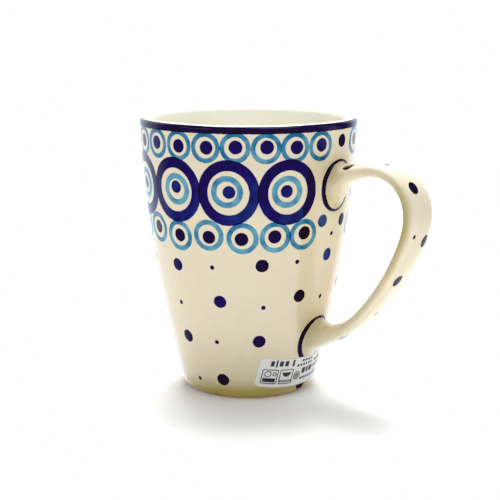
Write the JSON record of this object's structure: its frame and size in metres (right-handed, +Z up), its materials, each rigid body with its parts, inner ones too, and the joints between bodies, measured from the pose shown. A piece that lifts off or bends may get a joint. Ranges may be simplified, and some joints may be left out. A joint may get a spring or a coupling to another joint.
{
  "type": "stoneware mug",
  "caption": "Tall tapered stoneware drinking mug with a wide strap handle, glazed cream inside and out with blue circle and dot decoration, on a bare foot ring.",
  "frame": {"origin": "on the mug's axis, in the plane that the foot ring stands on", "axes": "+Z up along the mug's axis; +X from the axis through the middle of the handle"},
  "size_m": [0.1289, 0.091, 0.115],
  "materials": {
    "stoneware": "matt fired clay, bare on the foot ring",
    "handle_clay": "matt fired clay under the glaze",
    "slip": "matt fired slip",
    "body_glaze": "glossy cream glaze over blue stamped circles and dots",
    "handle_glaze": "glossy cream glaze over painted dots",
    "paper": "smooth white self-adhesive paper"
  },
  "bodies": {
    "root": {"mug_body": "stoneware", "handle": "handle_clay", "upper_slip_joint": "slip", "lower_slip_joint": "slip", "body_glaze": "body_glaze", "handle_glaze": "handle_glaze", "care_label": "paper"}
  },
  "joints": []
}
